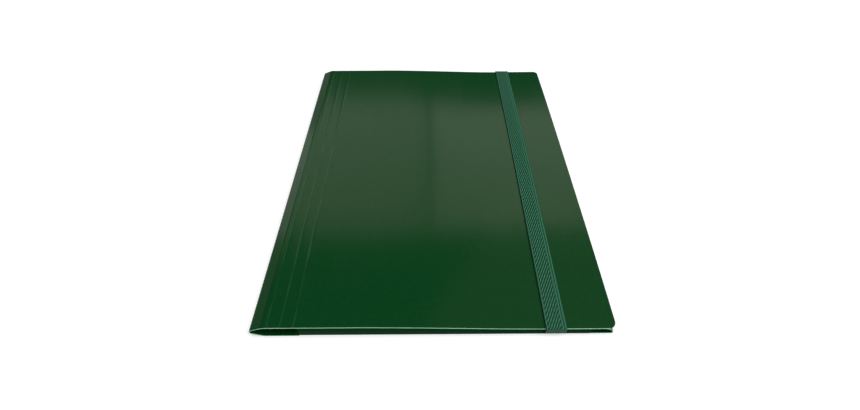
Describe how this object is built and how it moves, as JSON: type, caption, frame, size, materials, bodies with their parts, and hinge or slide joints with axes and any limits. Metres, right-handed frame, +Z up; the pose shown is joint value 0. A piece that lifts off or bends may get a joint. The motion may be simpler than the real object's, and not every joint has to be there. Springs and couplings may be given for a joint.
{
  "type": "document folder",
  "caption": "Flap folder for loose sheets, made of glossy green card, closed under a flat elastic band; the front cover opens at the spine",
  "frame": {"origin": "under the middle of the closed folder, on the surface that it lies on", "axes": "+X from the spine to the fore edge, +Y from the foot to the head, +Z up out of the front cover"},
  "size_m": [0.24, 0.3222, 0.0105],
  "materials": {
    "card": "gloss",
    "braid": "matte"
  },
  "bodies": {
    "back": {"back_cover_with_flaps": "card", "elastic_band": "braid"},
    "cover": {"front_cover": "card"}
  },
  "joints": [
    {"name": "cover_hinge", "type": "hinge", "parent": "back", "child": "cover", "pos_m": [-0.12015, 0, 0.00528], "axis": [0, -1, 0], "range_deg": [0, 180], "deforming": ["elastic_band"]}
  ]
}
